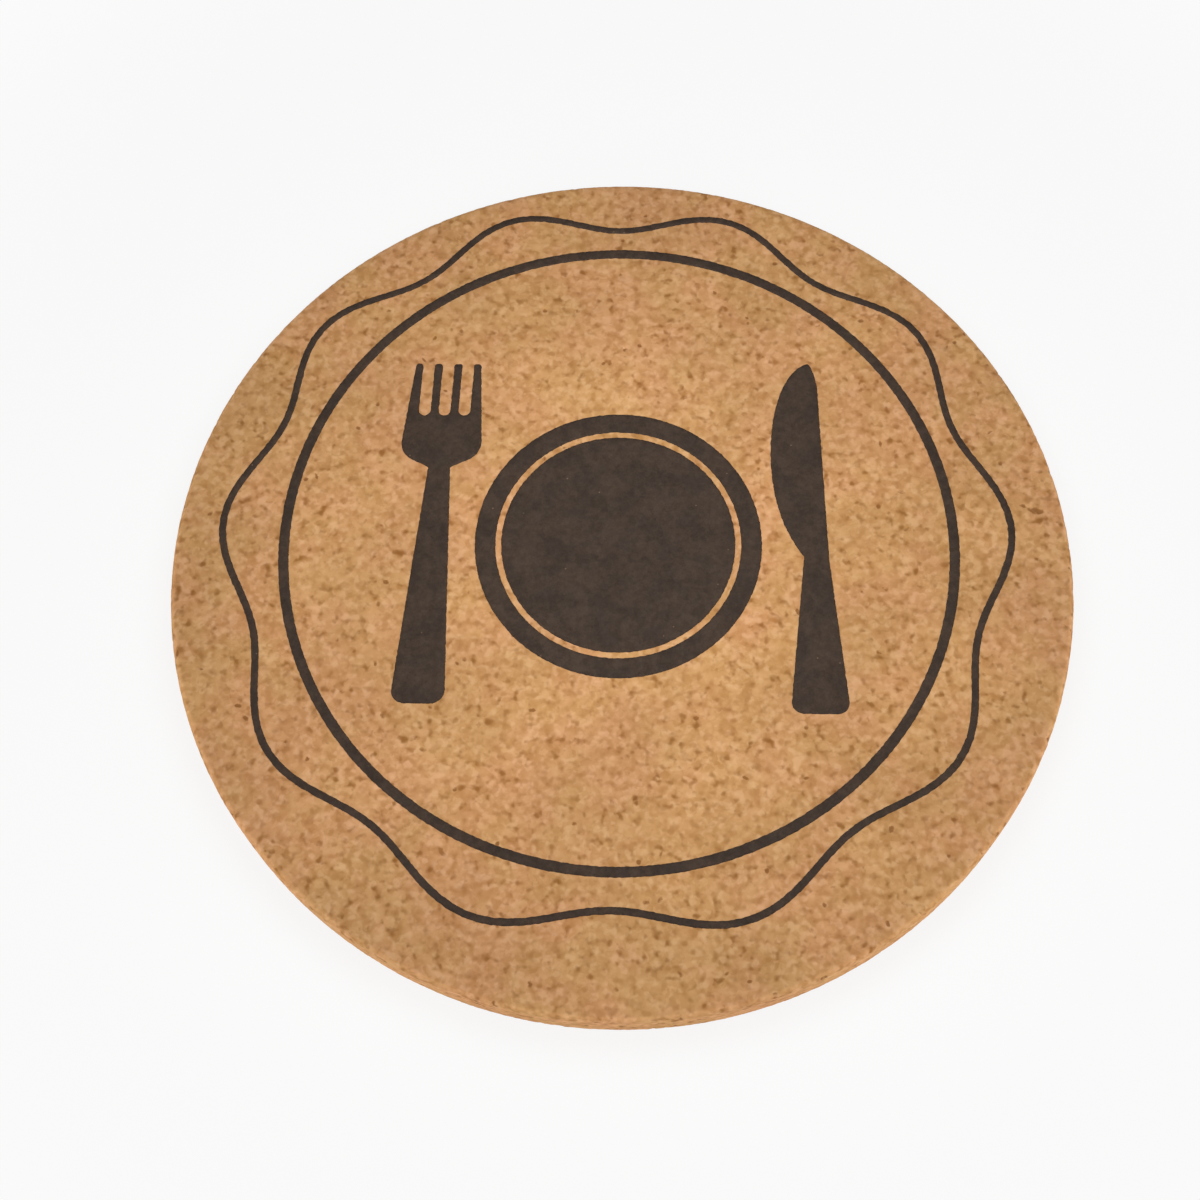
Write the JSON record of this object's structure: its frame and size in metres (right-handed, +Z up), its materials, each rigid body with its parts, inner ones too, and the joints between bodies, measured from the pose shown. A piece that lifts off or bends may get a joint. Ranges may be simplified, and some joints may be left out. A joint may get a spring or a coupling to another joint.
{
  "type": "cork coaster",
  "caption": "Large round cork table coaster for hot dishes, with a dark print of a plate, fork and knife inside a circle and a scalloped line.",
  "frame": {"origin": "centre of the underside", "axes": "+Z up out of the printed face, +Y the way the fork's tines point, +X from the fork to the knife"},
  "size_m": [0.2, 0.2, 0.01],
  "materials": {
    "cork": "fine agglomerated cork, pressed and sanded, unsealed",
    "ink": "matt dark brown screen-print ink"
  },
  "bodies": {
    "root": {"cork_disc": "cork", "scalloped_line": "ink", "circle_line": "ink", "plate_rim": "ink", "plate_centre": "ink", "fork_print": "ink", "knife_print": "ink"}
  },
  "joints": []
}
